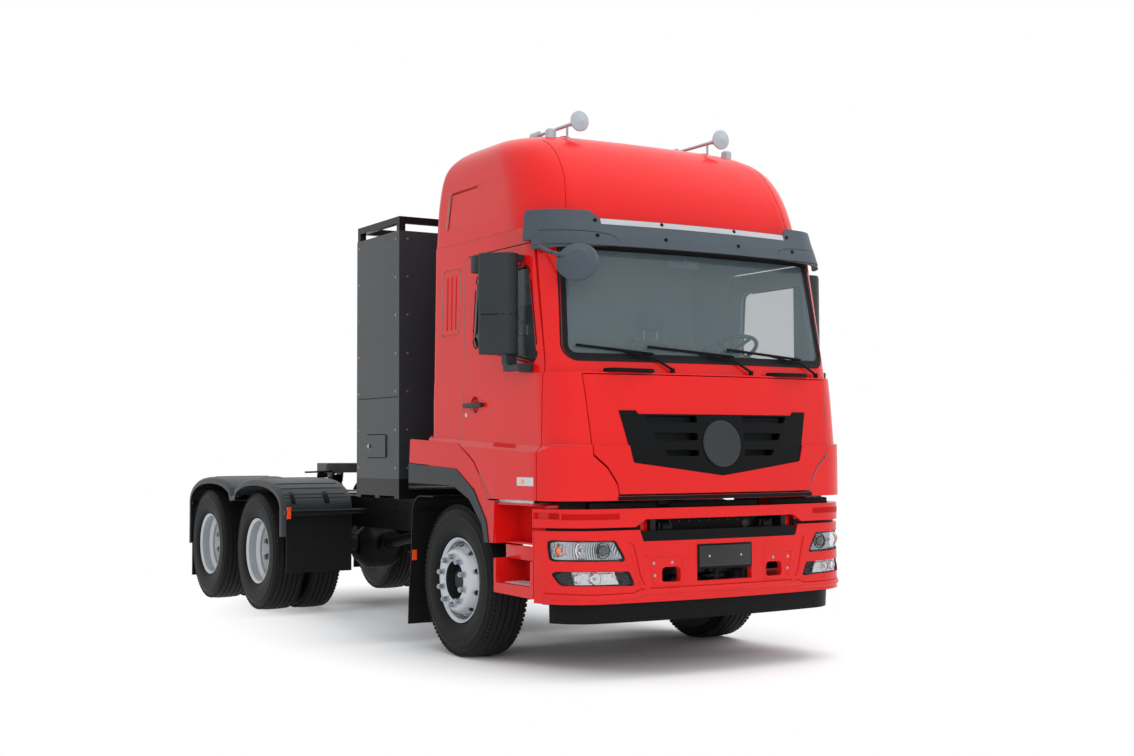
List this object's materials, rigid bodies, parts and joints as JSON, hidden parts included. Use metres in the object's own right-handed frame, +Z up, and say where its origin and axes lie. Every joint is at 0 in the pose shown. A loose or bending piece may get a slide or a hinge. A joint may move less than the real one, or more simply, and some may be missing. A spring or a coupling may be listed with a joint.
{
  "type": "semi truck tractor unit",
  "caption": "High-roof tilt-cab tractor unit with a steered front axle, twin-wheel tandem, fifth wheel and a battery rack behind the cab.",
  "frame": {"origin": "on the ground under the middle of the truck's length and width", "axes": "+X forward, +Y to the truck's left, +Z up"},
  "size_m": [7.3725, 2.904, 3.788],
  "materials": {
    "red_paint": "gloss",
    "red_moulding": "gloss",
    "glass": "clear",
    "grey_moulding": "matte",
    "cast_steel": "satin",
    "interior": "matte",
    "seat_cloth": "matte",
    "bright_metal": "satin",
    "lamp_lens": "clear",
    "frame_paint": "satin",
    "spring_steel": "satin",
    "rubber": "matte",
    "rack_paint": "satin",
    "tyre": "matte",
    "rim_paint": "satin"
  },
  "bodies": {
    "chassis": {"bumper": "red_moulding", "bumper_trims": "grey_moulding", "front_lamps": "lamp_lens", "lower_steps": "red_moulding", "front_beam": "frame_paint", "frame_rails": "frame_paint", "crossmembers": "frame_paint", "front_axle": "cast_steel", "front_springs": "spring_steel", "rear_axles": "cast_steel", "bogie_suspension": "spring_steel", "drive_line": "cast_steel", "air_tanks": "frame_paint", "side_boxes": "grey_moulding", "rear_fenders": "grey_moulding", "fender_supports": "frame_paint", "mudguards": "rubber", "fifth_wheel_mount": "frame_paint", "rack_frame": "frame_paint", "rack_panels": "rack_paint", "battery_block": "frame_paint"},
    "cab": {"cab_shell": "red_paint", "roof_cap": "red_moulding", "windscreen": "glass", "visor": "grey_moulding", "arch_flares": "red_moulding", "arch_trims": "grey_moulding", "cab_hinge_arms": "cast_steel", "dashboard": "interior", "seats": "seat_cloth", "bunk": "seat_cloth", "horns": "bright_metal", "wipers": "grey_moulding"},
    "steering_wheel": {"steering_wheel": "interior"},
    "front_flap": {"front_flap": "red_moulding", "grille": "grey_moulding"},
    "door_right": {"door_right": "red_paint", "door_glass_right": "glass", "mirror_right": "grey_moulding"},
    "door_left": {"door_left": "red_paint", "door_glass_left": "glass", "mirror_left": "grey_moulding"},
    "knuckle_right": {"knuckle_right": "cast_steel"},
    "knuckle_left": {"knuckle_left": "cast_steel"},
    "tie_rod": {"tie_rod": "cast_steel"},
    "fifth_wheel": {"fifth_wheel_plate": "cast_steel"},
    "charge_door": {"charge_door": "rack_paint"},
    "front_wheel_right": {"front_tyre_right": "tyre", "front_rim_right": "rim_paint"},
    "rear_wheels_1_right": {"rear_tyres_1_right": "tyre", "rear_rims_1_right": "rim_paint"},
    "rear_wheels_2_right": {"rear_tyres_2_right": "tyre", "rear_rims_2_right": "rim_paint"},
    "front_wheel_left": {"front_tyre_left": "tyre", "front_rim_left": "rim_paint"},
    "rear_wheels_1_left": {"rear_tyres_1_left": "tyre", "rear_rims_1_left": "rim_paint"},
    "rear_wheels_2_left": {"rear_tyres_2_left": "tyre", "rear_rims_2_left": "rim_paint"}
  },
  "joints": [
    {"name": "cab_tilt", "type": "hinge", "parent": "chassis", "child": "cab", "pos_m": [3.565, 0, 0.945], "axis": [0, 1, 0], "range_deg": [0, 50]},
    {"name": "front_flap_lift", "type": "hinge", "parent": "cab", "child": "front_flap", "pos_m": [3.606, 0, 1.946], "axis": [0, -1, 0], "range_deg": [0, 75]},
    {"name": "door_right_open", "type": "hinge", "parent": "cab", "child": "door_right", "pos_m": [3.335, -1.238, 1.9], "axis": [0, 0, 1], "range_deg": [0, 70]},
    {"name": "door_left_open", "type": "hinge", "parent": "cab", "child": "door_left", "pos_m": [3.335, 1.238, 1.9], "axis": [0, 0, -1], "range_deg": [0, 70]},
    {"name": "steer_right", "type": "hinge", "parent": "chassis", "child": "knuckle_right", "pos_m": [2.115, -0.85, 0.54], "axis": [0, 0, 1], "range_deg": [-35, 35]},
    {"name": "steer_left", "type": "hinge", "parent": "chassis", "child": "knuckle_left", "pos_m": [2.115, 0.85, 0.54], "axis": [0, 0, 1], "range_deg": [-35, 35]},
    {"name": "tie_rod_swing", "type": "hinge", "parent": "knuckle_right", "child": "tie_rod", "pos_m": [1.905, -0.85, 0.44], "axis": [0, 0, 1], "range_deg": [-35, 35]},
    {"name": "steering_wheel_turn", "type": "hinge", "parent": "cab", "child": "steering_wheel", "pos_m": [3.035, 0.55, 2.15], "axis": [-0.4695, 0, 0.8829], "range_deg": [-596, 596]},
    {"name": "fifth_wheel_tilt", "type": "hinge", "parent": "chassis", "child": "fifth_wheel", "pos_m": [-2.005, 0, 1.19], "axis": [0, 1, 0], "range_deg": [-10, 10]},
    {"name": "charge_door_open", "type": "hinge", "parent": "chassis", "child": "charge_door", "pos_m": [1.02, -1.205, 1.49], "axis": [0, 0, 1], "range_deg": [0, 110]},
    {"name": "front_wheel_right_roll", "type": "hinge", "parent": "knuckle_right", "child": "front_wheel_right", "pos_m": [2.115, -1.018, 0.54], "axis": [0, 1, 0], "continuous": true},
    {"name": "rear_wheels_1_right_roll", "type": "hinge", "parent": "chassis", "child": "rear_wheels_1_right", "pos_m": [-1.755, -0.9065, 0.54], "axis": [0, 1, 0], "continuous": true},
    {"name": "rear_wheels_2_right_roll", "type": "hinge", "parent": "chassis", "child": "rear_wheels_2_right", "pos_m": [-3.105, -0.9065, 0.54], "axis": [0, 1, 0], "continuous": true},
    {"name": "front_wheel_left_roll", "type": "hinge", "parent": "knuckle_left", "child": "front_wheel_left", "pos_m": [2.115, 1.018, 0.54], "axis": [0, 1, 0], "continuous": true},
    {"name": "rear_wheels_1_left_roll", "type": "hinge", "parent": "chassis", "child": "rear_wheels_1_left", "pos_m": [-1.755, 0.9065, 0.54], "axis": [0, 1, 0], "continuous": true},
    {"name": "rear_wheels_2_left_roll", "type": "hinge", "parent": "chassis", "child": "rear_wheels_2_left", "pos_m": [-3.105, 0.9065, 0.54], "axis": [0, 1, 0], "continuous": true}
  ],
  "couplings": [
    {"joint": "steer_left", "follows": "steer_right", "ratio": 1},
    {"joint": "tie_rod_swing", "follows": "steer_right", "ratio": -1},
    {"joint": "steering_wheel_turn", "follows": "steer_right", "ratio": 17}
  ]
}
